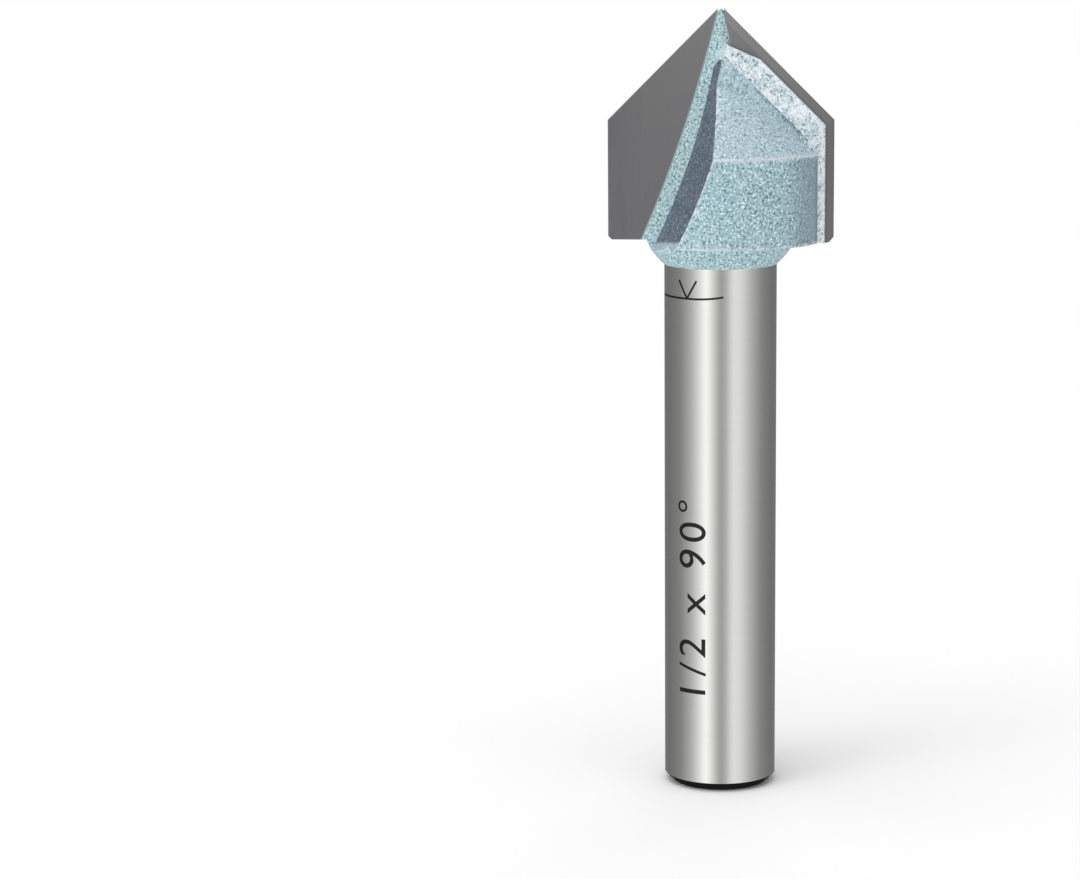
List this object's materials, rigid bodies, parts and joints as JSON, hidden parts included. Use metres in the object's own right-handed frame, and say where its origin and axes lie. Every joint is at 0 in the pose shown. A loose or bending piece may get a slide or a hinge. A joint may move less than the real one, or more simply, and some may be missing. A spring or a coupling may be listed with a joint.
{
  "type": "v groove router bit",
  "caption": "Straight-shank v groove router bit with a pointed, winged head, brazed carbide blades and milled chip gullets.",
  "frame": {"origin": "centre of the flat end of the shank, on the surface that the bit stands on", "axes": "+Z along the bit from the shank's end to the point, +X towards blade b's cutting edge, blade a's cutting face looks towards -Y"},
  "size_m": [0.0126, 0.0114, 0.0443],
  "materials": {
    "steel_body": "ground shank, speckled teal coating on the head",
    "carbide": "fine ground, dark grey",
    "braze": "satin"
  },
  "bodies": {
    "root": {"bit_body": "steel_body", "carbide_blade_a": "carbide", "carbide_blade_b": "carbide", "braze_layer_a": "braze", "braze_layer_b": "braze"}
  },
  "joints": []
}
